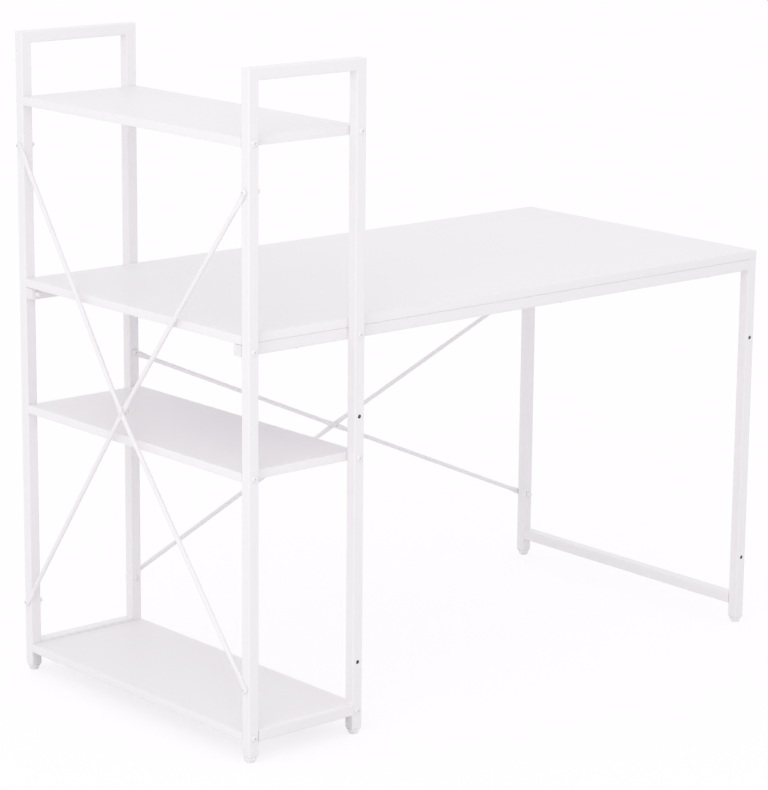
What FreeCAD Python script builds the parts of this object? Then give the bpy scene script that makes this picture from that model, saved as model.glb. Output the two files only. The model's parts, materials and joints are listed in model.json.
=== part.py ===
"""Computer desk with a shelf tower at its left end, a raised end frame at its right end and crossed braces.

X runs along the desk from the shelf tower to the end frame, Y from the user's side to the back, Z up.
The origin is on the floor, under the centre of the whole desk. Every size is in millimetres.
"""
import FreeCAD
import Part
import math
import os

from FreeCAD import Vector

# Overall sizes and clear heights between the boards
desk_length = 1200.0
desk_depth = 640.0
table_height = 710.0
tower_length = 240.0
middle_bay_height = 209.0
upper_bay_height = 300.0
top_frame_rise = 110.0
bottom_rail_clearance = 1.5

# Square steel tube of the frames
tube_side = 20.0
tube_wall = 1.2
tube_inner_corner = 1.0

# Boards, with their glued edge bands
board_thickness = 15.0
edge_band = 0.8

# Brace holes, from the boards and rails beside them
side_brace_drop = 70.0
side_brace_rise = 75.5
back_brace_drop = 127.0
back_brace_rise = 72.5

# Brace rods, of thin round tube that is pressed flat at its ends and half flat where it crosses another
rod_diameter = 8.0
rod_wall = 1.2
rod_flat_seam = 0.2
rod_crossing_seam = 2.0
rod_taper_length = 22.0
rod_edge_share = 0.45
side_brace_bow = 13.6
back_brace_bow = 14.1
crossing_flat_length = 26.0

# Bolts with low round heads and a hexagon socket
bolt_diameter = 6.0
bolt_clearance = 0.3
spare_hole_clearance = 0.5
bolt_head_overhang = 2.5
bolt_head_height = 3.2
bolt_head_rim = 0.7
bolt_socket_width = 4.0
bolt_socket_floor = 1.3
bolt_tip_chamfer = 0.7
thread_clearance = 0.05
head_crown_share = 0.62
head_shoulder_share = (0.88, 0.65)

# Dome nuts
nut_wall = 2.0
nut_hex_height = 4.6
nut_dome_height = 4.4
nut_dome_wall = 2.0
nut_corner_chamfer = 0.7
nut_shoulder_share = 0.92
nut_dome_share = (0.72, 0.71)

# Cross dowels that the shelf bolts pull on, inside the boards
dowel_wall = 2.0
dowel_clearance = 0.1
dowel_inset = 18.0
dowel_skin = 1.5
dowel_slot_width = 1.4
dowel_slot_depth = 1.0
bolt_tip_reach = 1.0

# Threaded plugs in the beams' right ends, and the reach of the bolts into them
plug_length = 24.0
plug_clearance = 0.15
beam_bolt_reach = 16.0

# Screws from the beams and the end frame up into the tabletop
screw_diameter = 4.0
screw_clearance = 0.2
screw_head_overhang = 2.0
screw_head_height = 2.4
screw_cover = 5.0
screw_tip = 3.0
screw_point_share = 0.25
screw_recess_width = 1.2
screw_recess_span = 4.4
screw_recess_depth = 1.2
beam_screw_inset = 100.0
rail_screw_shares = (0.3, 0.7)

# Caps in the beams' left ends
cap_thickness = 3.0
cap_insert_length = 5.0
cap_edge = 0.8

# Plugs in the posts' lower ends, and the levelling feet that screw into them
foot_plug_rim = 2.5
foot_plug_length = 18.0
foot_plug_edge = 1.0
foot_stop_gap = 0.3
foot_pad_height = 9.2
foot_pad_diameter = 21.5
foot_pad_base_diameter = 15.5
foot_pad_edge = 1.2
foot_pad_floor = 5.0
foot_stud_diameter = 8.0
foot_stud_clearance = 0.08
foot_stud_overreach = 3.0

# How far a cutting shape runs past the face that it cuts
overrun = 1.0

# Sizes that follow from those above
tube_corner = tube_inner_corner + tube_wall
tube_bore = tube_side - 2 * tube_wall
plug_side = tube_bore - 2 * plug_clearance
plug_inset = tube_wall + plug_clearance
rod_radius = rod_diameter / 2
rod_flat_thickness = 2 * rod_wall + rod_flat_seam
rod_flat_width = rod_flat_thickness + math.pi * (rod_diameter - rod_flat_thickness) / 2
rod_crossing_thickness = 2 * rod_wall + rod_crossing_seam
rod_crossing_width = rod_crossing_thickness + math.pi * (rod_diameter - rod_crossing_thickness) / 2
bolt_hole_diameter = bolt_diameter + 2 * bolt_clearance
spare_hole_diameter = bolt_diameter + 2 * spare_hole_clearance
bolt_thread_diameter = bolt_diameter + 2 * thread_clearance
bolt_head_diameter = bolt_diameter + 2 * bolt_head_overhang
nut_width = bolt_diameter + 2 * nut_wall
nut_height = nut_hex_height + nut_dome_height
nut_thread_depth = nut_height - nut_dome_wall
dowel_diameter = bolt_diameter + 2 * dowel_wall
dowel_length = board_thickness - 2 * dowel_skin
shelf_bolt_reach = dowel_inset + dowel_diameter / 2 + bolt_tip_reach
screw_hole_diameter = screw_diameter + 2 * screw_clearance
screw_bite = board_thickness - screw_cover
foot_height = foot_pad_height + foot_stop_gap + foot_plug_rim
foot_stud_top = foot_height + foot_plug_length + foot_stud_overreach

# Reach of the pieces that stand outside the tubes, so that the origin is under the middle of the whole
left_reach = side_brace_bow + rod_crossing_thickness + rod_crossing_thickness / 2 + bolt_head_height
right_reach = bolt_head_height
front_reach = bolt_head_height
back_reach = rod_flat_thickness + nut_height

# Planes of the desk along X
desk_left = -(desk_length + right_reach - left_reach) / 2
desk_right = desk_left + desk_length
tower_right = desk_left + tower_length
inner_post_left = tower_right - tube_side
end_post_left = desk_right - tube_side

# Planes of the desk along Y
desk_front = -(desk_depth + back_reach - front_reach) / 2
desk_back = desk_front + desk_depth
board_front = desk_front + tube_side
board_back = desk_back - tube_side
beam_inner_front = board_front + tube_side
beam_inner_back = board_back - tube_side

# Planes of the desk along Z
beam_top = table_height - board_thickness
beam_underside = beam_top - tube_side
beam_middle = beam_underside + tube_side / 2
bottom_rail_underside = foot_stud_top + bottom_rail_clearance
bottom_rail_top = bottom_rail_underside + tube_side
bottom_shelf_top = bottom_rail_underside + board_thickness
middle_shelf_top = beam_top - middle_bay_height
top_shelf_top = table_height + upper_bay_height + board_thickness
desk_height = top_shelf_top + top_frame_rise

# Centres of the posts and the beams
outer_post_x = desk_left + tube_side / 2
inner_post_x = inner_post_left + tube_side / 2
end_post_x = end_post_left + tube_side / 2
front_post_y = desk_front + tube_side / 2
back_post_y = desk_back - tube_side / 2
front_beam_y = board_front + tube_side / 2
back_beam_y = board_back - tube_side / 2

# Heights of the holes
side_brace_high = top_shelf_top - board_thickness - side_brace_drop
side_brace_low = bottom_shelf_top + side_brace_rise
back_brace_high = beam_underside - back_brace_drop
back_brace_low = bottom_rail_top + back_brace_rise
shelf_bolt_heights = [top - board_thickness / 2 for top in (bottom_shelf_top, middle_shelf_top, top_shelf_top)]

# Places of the screws under the tabletop
beam_screw_places = [
    (outer_post_x + inner_post_x) / 2,
    (tower_right + end_post_left) / 2,
    end_post_left - beam_screw_inset,
]
rail_screw_places = [
    beam_inner_front + (beam_inner_back - beam_inner_front) * share for share in rail_screw_shares
]

origin = Vector(0, 0, 0)
to_left = Vector(-1, 0, 0)
to_right = Vector(1, 0, 0)
to_front = Vector(0, -1, 0)
to_back = Vector(0, 1, 0)
upward = Vector(0, 0, 1)
downward = Vector(0, 0, -1)


def aligned(shape, place, direction):
    """Stand a shape that was made on the origin along +Z at place, along direction."""
    turned = shape.copy()
    turned.Placement = FreeCAD.Placement(place, FreeCAD.Rotation(upward, direction))
    return turned


def drilled(shape, holes):
    """Take each hole out of the shape."""
    for hole in holes:
        shape = shape.cut(hole)
    return shape


def through_hole(centre, direction, length, diameter=bolt_hole_diameter):
    """A cylinder round centre that runs past both ends of its length."""
    whole = length + 2 * overrun
    return Part.makeCylinder(diameter / 2, whole, centre - direction * (whole / 2), direction)


def turned_outline(edges):
    """The solid that an outline in the XZ plane makes when it is turned about Z."""
    return Part.Face(Part.Wire(edges)).revolve(origin, upward, 360)


def closed_edges(shape):
    """The full circles among the edges of a shape."""
    return [edge for edge in shape.Edges if len(edge.Vertexes) == 1]


def rounded_bar(low, size, axis, radius):
    """A rectangular bar whose four long edges, along axis, are rounded."""
    bar = Part.makeBox(size.x, size.y, size.z, low)
    long_edges = []
    for edge in bar.Edges:
        span = edge.Vertexes[1].Point - edge.Vertexes[0].Point
        if abs(span.dot(axis)) > span.cross(axis).Length:
            long_edges.append(edge)
    return bar.makeFillet(radius, long_edges)


def square_tube(low, length, axis):
    """A length of square tube along axis, from the low corner of its box."""
    across = Vector(1, 1, 1) - axis
    outer = rounded_bar(low, across * tube_side + axis * length, axis, tube_corner)
    bore_low = low + across * tube_wall - axis * overrun
    bore_size = across * tube_bore + axis * (length + 2 * overrun)
    return outer.cut(rounded_bar(bore_low, bore_size, axis, tube_inner_corner))


def mitre_waste(outer_corner, inner_corner, keep_corner, depth_axis):
    """The prism that a mitre takes away from the end of a tube.

    The mitre runs from outer_corner to inner_corner, and keep_corner is the corner of the joint that stays.
    """
    along = inner_corner - outer_corner
    centre = (outer_corner + inner_corner) / 2
    away = (centre - keep_corner).normalize()
    start = outer_corner - along - depth_axis * overrun
    finish = inner_corner + along - depth_axis * overrun
    point = centre + away * (tube_side + overrun) - depth_axis * overrun
    face = Part.Face(Part.makePolygon([start, finish, point, start]))
    return face.extrude(depth_axis * (tube_side + 2 * overrun))


def hexagon_prism(width, height, base):
    """A hexagonal prism along +Z, width across its flats, that stands at height base."""
    radius = width / math.sqrt(3)
    corners = []
    for index in range(7):
        angle = math.tau * index / 6
        corners.append(Vector(radius * math.cos(angle), radius * math.sin(angle), base))
    return Part.Face(Part.makePolygon(corners)).extrude(upward * height)


def round_head(diameter, height):
    """A low domed head that stands on the origin, with a short upright rim."""
    radius = diameter / 2
    dome = height - bolt_head_rim
    rim_low = Vector(radius, 0, 0)
    rim_high = Vector(radius, 0, bolt_head_rim)
    shoulder = Vector(radius * head_shoulder_share[0], 0, bolt_head_rim + dome * head_shoulder_share[1])
    crown = Vector(radius * head_crown_share, 0, height)
    top = Vector(0, 0, height)
    return turned_outline([
        Part.makeLine(origin, rim_low),
        Part.makeLine(rim_low, rim_high),
        Part.Arc(rim_high, shoulder, crown).toShape(),
        Part.makeLine(crown, top),
        Part.makeLine(top, origin),
    ])


def socket_bolt(length):
    """A bolt whose head stands up from the origin and whose shank runs down for length."""
    shank = Part.makeCylinder(bolt_diameter / 2, length, origin, downward)
    tip = [edge for edge in closed_edges(shank) if edge.BoundBox.ZMax < -length / 2]
    shank = shank.makeChamfer(bolt_tip_chamfer, tip)
    head = round_head(bolt_head_diameter, bolt_head_height)
    socket_depth = bolt_head_height - bolt_socket_floor
    socket = hexagon_prism(bolt_socket_width, socket_depth + overrun, bolt_socket_floor)
    return head.fuse(shank).removeSplitter().cut(socket)


def dome_nut():
    """A closed nut that stands up from the origin, with its threaded hole below."""
    flat = nut_width / 2
    corner = nut_width / math.sqrt(3)
    shoulder = flat * nut_shoulder_share
    foot = Vector(flat, 0, 0)
    side_low = Vector(corner, 0, nut_corner_chamfer)
    side_high = Vector(corner, 0, nut_hex_height - nut_corner_chamfer)
    dome_low = Vector(shoulder, 0, nut_hex_height)
    dome_middle = Vector(shoulder * nut_dome_share[0], 0, nut_hex_height + nut_dome_height * nut_dome_share[1])
    top = Vector(0, 0, nut_height)
    turned = turned_outline([
        Part.makeLine(origin, foot),
        Part.makeLine(foot, side_low),
        Part.makeLine(side_low, side_high),
        Part.makeLine(side_high, dome_low),
        Part.Arc(dome_low, dome_middle, top).toShape(),
        Part.makeLine(top, origin),
    ])
    thread = Part.makeCylinder(bolt_thread_diameter / 2, nut_thread_depth + overrun, downward * overrun)
    return turned.common(hexagon_prism(nut_width, nut_height, 0)).cut(thread)


def bolt_and_nut(head_seat, direction, grip):
    """A bolt that goes in at head_seat along direction, and the dome nut past what it grips."""
    length = grip + nut_thread_depth - bolt_tip_chamfer
    bolt = aligned(socket_bolt(length), head_seat, direction * -1)
    nut = aligned(dome_nut(), head_seat + direction * grip, direction)
    return bolt, nut


def grouped_fasteners(pairs):
    """The bolts as one group of solids and the nuts as another."""
    bolts = Part.makeCompound([bolt for bolt, nut in pairs])
    nuts = Part.makeCompound([nut for bolt, nut in pairs])
    return bolts, nuts


def tower_post(is_front, is_inner):
    """A post of the shelf tower, mitred at its top and drilled for its shelves, its beam and its brace.

    The front inner post has spare brace holes instead, a little wider.
    """
    left = inner_post_left if is_inner else desk_left
    front = desk_front if is_front else board_back
    right = left + tube_side
    outer_x, inner_x = (right, left) if is_inner else (left, right)
    mitre_foot = desk_height - tube_side
    post = square_tube(Vector(left, front, foot_height), desk_height - foot_height, upward)
    post = post.cut(mitre_waste(Vector(outer_x, front, desk_height), Vector(inner_x, front, mitre_foot),
                                Vector(outer_x, front, mitre_foot), to_back))
    centre = Vector(left + tube_side / 2, front + tube_side / 2, 0)
    holes = [through_hole(centre + upward * height, to_back, tube_side)
             for height in shelf_bolt_heights + [beam_middle]]
    if is_inner:
        brace_hole_diameter = spare_hole_diameter if is_front else bolt_hole_diameter
        holes += [through_hole(centre + upward * height, to_back, tube_side, brace_hole_diameter)
                  for height in (back_brace_low, back_brace_high)]
    else:
        holes += [through_hole(centre + upward * height, to_right, tube_side)
                  for height in (side_brace_low, side_brace_high)]
    return drilled(post, holes)


def tower_top_rail(front):
    """The short tube over two tower posts, mitred at both ends."""
    low = desk_height - tube_side
    rail = square_tube(Vector(desk_left, front, low), tower_length, to_right)
    left_waste = mitre_waste(Vector(desk_left, front, desk_height), Vector(desk_left + tube_side, front, low),
                             Vector(desk_left + tube_side, front, desk_height), to_back)
    right_waste = mitre_waste(Vector(tower_right, front, desk_height), Vector(inner_post_left, front, low),
                              Vector(inner_post_left, front, desk_height), to_back)
    return rail.cut(left_waste).cut(right_waste)


def tower_bottom_rail(front):
    """The short tube between two tower posts beside the bottom shelf, butted against them."""
    low = Vector(desk_left + tube_side, front, bottom_rail_underside)
    return square_tube(low, tower_length - 2 * tube_side, to_right)


def end_frame_post(is_front):
    """A post of the end frame, mitred at its top and drilled for its beam bolt and its brace.

    The front post has spare brace holes instead, a little wider.
    """
    front = board_front if is_front else beam_inner_back
    back = front + tube_side
    outer_y, inner_y = (front, back) if is_front else (back, front)
    post = square_tube(Vector(end_post_left, front, foot_height), beam_top - foot_height, upward)
    post = post.cut(mitre_waste(Vector(end_post_left, outer_y, beam_top),
                                Vector(end_post_left, inner_y, beam_underside),
                                Vector(end_post_left, outer_y, beam_underside), to_right))
    centre = Vector(end_post_x, front + tube_side / 2, 0)
    brace_hole_diameter = spare_hole_diameter if is_front else bolt_hole_diameter
    holes = [through_hole(centre + upward * beam_middle, to_right, tube_side)]
    holes += [through_hole(centre + upward * height, to_back, tube_side, brace_hole_diameter)
              for height in (back_brace_low, back_brace_high)]
    return drilled(post, holes)


def end_frame_top_rail():
    """The tube under the tabletop's right end, mitred to both end posts."""
    rail = square_tube(Vector(end_post_left, board_front, beam_underside), board_back - board_front, to_back)
    front_waste = mitre_waste(Vector(end_post_left, board_front, beam_top),
                              Vector(end_post_left, beam_inner_front, beam_underside),
                              Vector(end_post_left, beam_inner_front, beam_top), to_right)
    back_waste = mitre_waste(Vector(end_post_left, board_back, beam_top),
                             Vector(end_post_left, beam_inner_back, beam_underside),
                             Vector(end_post_left, beam_inner_back, beam_top), to_right)
    holes = [through_hole(Vector(end_post_x, y, beam_middle), to_right, tube_side)
             for y in (front_beam_y, back_beam_y)]
    holes += [through_hole(Vector(end_post_x, y, beam_middle), upward, tube_side, screw_hole_diameter)
              for y in rail_screw_places]
    return drilled(rail.cut(front_waste).cut(back_waste), holes)


def end_frame_bottom_rail():
    """The raised rail between the end frame's posts, butted against them."""
    low = Vector(end_post_left, beam_inner_front, bottom_rail_underside)
    return square_tube(low, beam_inner_back - beam_inner_front, to_back)


def table_beam(front):
    """The tube under a long edge of the tabletop, from its end cap to the end frame."""
    start = desk_left + cap_thickness
    beam = square_tube(Vector(start, front, beam_underside), end_post_left - start, to_right)
    y = front + tube_side / 2
    holes = [through_hole(Vector(x, y, beam_middle), to_back, tube_side) for x in (outer_post_x, inner_post_x)]
    holes += [through_hole(Vector(x, y, beam_middle), upward, tube_side, screw_hole_diameter)
              for x in beam_screw_places]
    return drilled(beam, holes)


def beam_end_cap(front):
    """The moulded cap in the left end of a beam: a flush face with rounded edges and a square insert."""
    face = Part.makeBox(cap_thickness, tube_side, tube_side, Vector(desk_left, front, beam_underside))
    rim = [edge for edge in face.Edges if edge.BoundBox.XMax < desk_left + cap_thickness / 2]
    face = face.makeFillet(cap_edge, rim)
    start = desk_left + cap_thickness / 2
    low = Vector(start, front + plug_inset, beam_underside + plug_inset)
    size = Vector(cap_insert_length, plug_side, plug_side)
    insert = rounded_bar(low, size, to_right, tube_inner_corner)
    return face.fuse(insert).removeSplitter()


def beam_thread_plug(front):
    """The square steel plug in the right end of a beam, with its threaded hole."""
    low = Vector(end_post_left - plug_length, front + plug_inset, beam_underside + plug_inset)
    plug = rounded_bar(low, Vector(plug_length, plug_side, plug_side), to_right, tube_inner_corner)
    middle = Vector(end_post_left - plug_length / 2, front + tube_side / 2, beam_middle)
    return plug.cut(through_hole(middle, to_right, plug_length, bolt_thread_diameter))


def beam_end_bolts():
    """The bolts through the end frame's upper corners into the beams' thread plugs."""
    bolt = socket_bolt(tube_side + beam_bolt_reach)
    return Part.makeCompound([aligned(bolt, Vector(desk_right, y, beam_middle), to_right)
                              for y in (front_beam_y, back_beam_y)])


def beam_post_fasteners():
    """The bolts through the tower's posts and the beams, with dome nuts on the beams' inner faces."""
    pairs = []
    for x in (outer_post_x, inner_post_x):
        pairs.append(bolt_and_nut(Vector(x, desk_front, beam_middle), to_back, 2 * tube_side))
        pairs.append(bolt_and_nut(Vector(x, desk_back, beam_middle), to_front, 2 * tube_side))
    return grouped_fasteners(pairs)


def board_core(left, right, top):
    """A board without its edge bands."""
    size_x = right - left - 2 * edge_band
    size_y = board_back - board_front - 2 * edge_band
    low = Vector(left + edge_band, board_front + edge_band, top - board_thickness)
    return Part.makeBox(size_x, size_y, board_thickness, low)


def board_bands(left, right, top):
    """The glued strips round a board: long ones in front and behind, and short ones between them."""
    low = top - board_thickness
    depth = board_back - board_front - 2 * edge_band
    strips = []
    for y in (board_front, board_back - edge_band):
        strips.append(Part.makeBox(right - left, edge_band, board_thickness, Vector(left, y, low)))
    for x in (left, right - edge_band):
        strips.append(Part.makeBox(edge_band, depth, board_thickness, Vector(x, board_front + edge_band, low)))
    return strips


def tabletop_screw_places():
    places = [(x, y) for x in beam_screw_places for y in (front_beam_y, back_beam_y)]
    return places + [(end_post_x, y) for y in rail_screw_places]


def tabletop():
    """The long board over the beams and the end frame, with pilot holes for its screws, and its bands."""
    pilots = [Part.makeCylinder(screw_diameter / 2 + thread_clearance, screw_bite + 2 * overrun,
                                Vector(x, y, beam_top - overrun))
              for x, y in tabletop_screw_places()]
    core = drilled(board_core(desk_left, desk_right, table_height), pilots)
    return core, Part.makeCompound(board_bands(desk_left, desk_right, table_height))


def pan_screw():
    """A wood screw whose head hangs under the origin and whose shank runs up through a tube into a board."""
    head = round_head(screw_diameter + 2 * screw_head_overhang, screw_head_height)
    head.rotate(origin, to_right, 180)
    shank_length = tube_side + screw_bite - screw_tip
    shank = Part.makeCylinder(screw_diameter / 2, shank_length)
    point_radius = screw_diameter / 2 * screw_point_share
    tip = Part.makeCone(screw_diameter / 2, point_radius, screw_tip, upward * shank_length)
    screw = head.fuse(shank).fuse(tip).removeSplitter()
    low = -screw_head_height - overrun
    for size_x, size_y in ((screw_recess_span, screw_recess_width), (screw_recess_width, screw_recess_span)):
        corner = Vector(-size_x / 2, -size_y / 2, low)
        screw = screw.cut(Part.makeBox(size_x, size_y, screw_recess_depth + overrun, corner))
    return screw


def tabletop_screws():
    """The screws up through the beams and the end frame's top rail."""
    screw = pan_screw()
    return Part.makeCompound([aligned(screw, Vector(x, y, beam_underside), upward)
                              for x, y in tabletop_screw_places()])


def shelf_holes(top):
    """At each corner of a shelf, the bolt's bore from the board's end and the dowel's pocket from below."""
    middle = top - board_thickness / 2
    pocket_low = top - board_thickness - overrun
    pocket_depth = board_thickness - dowel_skin + overrun
    holes = []
    for x in (outer_post_x, inner_post_x):
        for end_y, inward in ((board_front, to_back), (board_back, to_front)):
            start = Vector(x, end_y, middle) - inward * overrun
            length = shelf_bolt_reach + 2 * overrun
            pocket = Vector(x, end_y, pocket_low) + inward * dowel_inset
            holes.append(Part.makeCylinder(bolt_hole_diameter / 2, length, start, inward))
            holes.append(Part.makeCylinder(dowel_diameter / 2 + dowel_clearance, pocket_depth, pocket))
    return holes


def tower_shelf(top):
    """A shelf board and its edge bands, drilled for the bolts and cross dowels at its corners."""
    holes = shelf_holes(top)
    core = drilled(board_core(desk_left, tower_right, top), holes)
    bands = [drilled(strip, holes) for strip in board_bands(desk_left, tower_right, top)]
    return core, Part.makeCompound(bands)


def cross_dowel():
    """A steel cross dowel that stands on the origin, with a screwdriver slot below and a threaded cross hole."""
    body = Part.makeCylinder(dowel_diameter / 2, dowel_length)
    thread = through_hole(upward * (dowel_length / 2), to_back, dowel_diameter, bolt_thread_diameter)
    slot_length = dowel_diameter + 2 * overrun
    slot = Part.makeBox(dowel_slot_width, slot_length, dowel_slot_depth + overrun,
                        Vector(-dowel_slot_width / 2, -slot_length / 2, -overrun))
    return body.cut(thread).cut(slot)


def shelf_fasteners():
    """The bolts through the posts into the shelves' ends, and the cross dowels that they pull on."""
    bolt = socket_bolt(tube_side + shelf_bolt_reach)
    dowel = cross_dowel()
    bolts = []
    dowels = []
    for height in shelf_bolt_heights:
        for x in (outer_post_x, inner_post_x):
            for seat_y, inward in ((desk_front, to_back), (desk_back, to_front)):
                seat = Vector(x, seat_y, height)
                dowel_foot = seat + inward * (tube_side + dowel_inset) - upward * (dowel_length / 2)
                bolts.append(aligned(bolt, seat, inward * -1))
                dowels.append(aligned(dowel, dowel_foot, upward))
    return Part.makeCompound(bolts), Part.makeCompound(dowels)


def flat_section(place, across, outward, width, thickness):
    """The outline of the flattened rod at place: two straight sides and two round ends."""
    side = across * (width / 2 - thickness / 2)
    rise = outward * (thickness / 2)
    end = across * (width / 2)
    return Part.Wire([
        Part.makeLine(place + side + rise, place - side + rise),
        Part.Arc(place - side + rise, place - end, place - side - rise).toShape(),
        Part.makeLine(place - side - rise, place + side - rise),
        Part.Arc(place + side - rise, place + end, place + side + rise).toShape(),
    ])


def round_section(place, across, outward, radius):
    """The outline of the round rod at place, as four arcs that match the flattened outline's sides."""
    side = across * (radius * math.sqrt(0.5))
    rise = outward * (radius * math.sqrt(0.5))
    return Part.Wire([
        Part.Arc(place + side + rise, place + outward * radius, place - side + rise).toShape(),
        Part.Arc(place - side + rise, place - across * radius, place - side - rise).toShape(),
        Part.Arc(place - side - rise, place - outward * radius, place + side - rise).toShape(),
        Part.Arc(place + side - rise, place + across * radius, place + side + rise).toShape(),
    ])


def flat_run(start, finish, across, outward, width, thickness):
    """A bar with the flattened rod's outline between two places."""
    return Part.Face(flat_section(start, across, outward, width, thickness)).extrude(finish - start)


def flat_tab(hole_centre, flat_end, across, outward):
    """The flattened end of a rod, with its round nose, from its hole to where it starts to swell."""
    base = hole_centre - outward * (rod_flat_thickness / 2)
    nose = Part.makeCylinder(rod_flat_width / 2, rod_flat_thickness, base, outward)
    nose = nose.makeFillet(rod_flat_thickness * rod_edge_share, closed_edges(nose))
    return flat_run(hole_centre, flat_end, across, outward, rod_flat_width, rod_flat_thickness).fuse(nose)


def crossing_run(start, finish, across, outward):
    """The half flattened stretch where a rod meets the other one, hollow inside."""
    outer = flat_run(start, finish, across, outward, rod_crossing_width, rod_crossing_thickness)
    bore_width = rod_crossing_width - 2 * rod_wall
    return outer.cut(flat_run(start, finish, across, outward, bore_width, rod_crossing_seam))


def swelling(flat_place, round_place, across, outward, width, thickness):
    """The stretch where a flattened rod swells back to its round section, hollow inside."""
    direction = (round_place - flat_place).normalize()
    round_outward = direction.cross(across)
    if round_outward.dot(outward) < 0:
        round_outward = round_outward * -1
    outer = Part.makeLoft([
        flat_section(flat_place, across, outward, width, thickness),
        round_section(round_place, across, round_outward, rod_radius),
    ], True, True)
    bore = Part.makeLoft([
        flat_section(flat_place, across, outward, width - 2 * rod_wall, thickness - 2 * rod_wall),
        round_section(round_place, across, round_outward, rod_radius - rod_wall),
    ], True, True)
    return outer.cut(bore)


def tube_run(start, finish):
    """A stretch of round tube between two places."""
    along = finish - start
    outer = Part.makeCylinder(rod_radius, along.Length, start, along)
    return outer.cut(Part.makeCylinder(rod_radius - rod_wall, along.Length, start, along))


def brace_rod(start, finish, outward, offsets):
    """A brace rod between the hole centres start and finish, which lie in one plane that faces outward.

    offsets gives the height of the rod's centre line over that plane at its start, its middle and its end.
    The flat ends reach past the upright post that they lie on, so that the rod swells clear of it.
    """
    along = (finish - start).normalize()
    across = outward.cross(along)
    level_share = along.cross(upward).Length
    steep_share = abs(along.dot(upward))
    flat_length = (tube_side / 2 + rod_flat_width / 2 * steep_share) / level_share
    start_hole = start + outward * offsets[0]
    finish_hole = finish + outward * offsets[2]
    middle = (start + finish) / 2 + outward * offsets[1]
    half_flat = along * (crossing_flat_length / 2)
    start_flat = start_hole + along * flat_length
    finish_flat = finish_hole - along * flat_length
    middle_start = middle - half_flat
    middle_finish = middle + half_flat
    first_run = (middle_start - start_flat).normalize() * rod_taper_length
    second_run = (finish_flat - middle_finish).normalize() * rod_taper_length
    end_size = (rod_flat_width, rod_flat_thickness)
    crossing_size = (rod_crossing_width, rod_crossing_thickness)
    pieces = [
        flat_tab(start_hole, start_flat, across, outward),
        flat_tab(finish_hole, finish_flat, across, outward),
        crossing_run(middle_start, middle_finish, across, outward),
        swelling(start_flat, start_flat + first_run, across, outward, *end_size),
        swelling(middle_start, middle_start - first_run, across, outward, *crossing_size),
        swelling(middle_finish, middle_finish + second_run, across, outward, *crossing_size),
        swelling(finish_flat, finish_flat - second_run, across, outward, *end_size),
        tube_run(start_flat + first_run, middle_start - first_run),
        tube_run(middle_finish + second_run, finish_flat - second_run),
    ]
    rod = pieces[0].multiFuse(pieces[1:])
    return drilled(rod, [through_hole(centre, outward, rod_crossing_thickness)
                         for centre in (start_hole, middle, finish_hole)])


def side_brace_rods():
    """The crossed rods on the outside of the tower, which bow outwards to where they are bolted together."""
    seat = rod_flat_thickness / 2
    back_high = Vector(desk_left, back_post_y, side_brace_high)
    back_low = Vector(desk_left, back_post_y, side_brace_low)
    front_high = Vector(desk_left, front_post_y, side_brace_high)
    front_low = Vector(desk_left, front_post_y, side_brace_low)
    outer = brace_rod(back_high, front_low, to_left, (seat, side_brace_bow + rod_crossing_thickness, seat))
    inner = brace_rod(front_high, back_low, to_left, (seat, side_brace_bow, seat))
    return outer, inner


def side_brace_fasteners():
    """The bolts through the side brace and the outer posts, with dome nuts inside the tower."""
    pairs = []
    for y in (front_post_y, back_post_y):
        for z in (side_brace_low, side_brace_high):
            seat = Vector(desk_left - rod_flat_thickness, y, z)
            pairs.append(bolt_and_nut(seat, to_right, rod_flat_thickness + tube_side))
    return grouped_fasteners(pairs)


def back_brace_rods():
    """The crossed rods behind the knee space, flattened where they meet and bolted together there.

    Both lie behind the end frame. At the tower the falling rod lies before its post and the rising one behind.
    """
    seat = rod_flat_thickness / 2
    tower_high = Vector(inner_post_x, board_back, back_brace_high)
    tower_low = Vector(inner_post_x, board_back, back_brace_low)
    end_high = Vector(end_post_x, board_back, back_brace_high)
    end_low = Vector(end_post_x, board_back, back_brace_low)
    falling_offsets = (-seat, back_brace_bow, seat)
    rising_offsets = (tube_side + seat, back_brace_bow + rod_crossing_thickness, seat)
    falling = brace_rod(tower_high, end_low, to_back, falling_offsets)
    rising = brace_rod(tower_low, end_high, to_back, rising_offsets)
    return falling, rising


def back_brace_fasteners():
    """The bolts through the back brace's ends and the posts, with their dome nuts."""
    grip = rod_flat_thickness + tube_side
    before_tower = Vector(inner_post_x, board_back - rod_flat_thickness, back_brace_high)
    on_tower = Vector(inner_post_x, board_back, back_brace_low)
    pairs = [bolt_and_nut(before_tower, to_back, grip), bolt_and_nut(on_tower, to_back, grip)]
    for height in (back_brace_low, back_brace_high):
        behind_end = Vector(end_post_x, board_back + rod_flat_thickness, height)
        pairs.append(bolt_and_nut(behind_end, to_front, grip))
    return grouped_fasteners(pairs)


def crossing_fasteners():
    """The bolts and the dome nuts that hold the rods of each brace together where they cross."""
    half = rod_crossing_thickness / 2
    grip = 2 * rod_crossing_thickness
    side_seat = Vector(desk_left - side_brace_bow + half - grip, (front_post_y + back_post_y) / 2,
                       (side_brace_low + side_brace_high) / 2)
    back_seat = Vector((inner_post_x + end_post_x) / 2, board_back + back_brace_bow - half,
                       (back_brace_low + back_brace_high) / 2)
    return grouped_fasteners([bolt_and_nut(side_seat, to_right, grip), bolt_and_nut(back_seat, to_back, grip)])


def foot_places():
    """The centre of each post on the floor, by the name of its foot."""
    return {
        "tower_front_outer": (outer_post_x, front_post_y),
        "tower_front_inner": (inner_post_x, front_post_y),
        "tower_back_outer": (outer_post_x, back_post_y),
        "tower_back_inner": (inner_post_x, back_post_y),
        "end_front": (end_post_x, front_beam_y),
        "end_back": (end_post_x, back_beam_y),
    }


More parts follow.
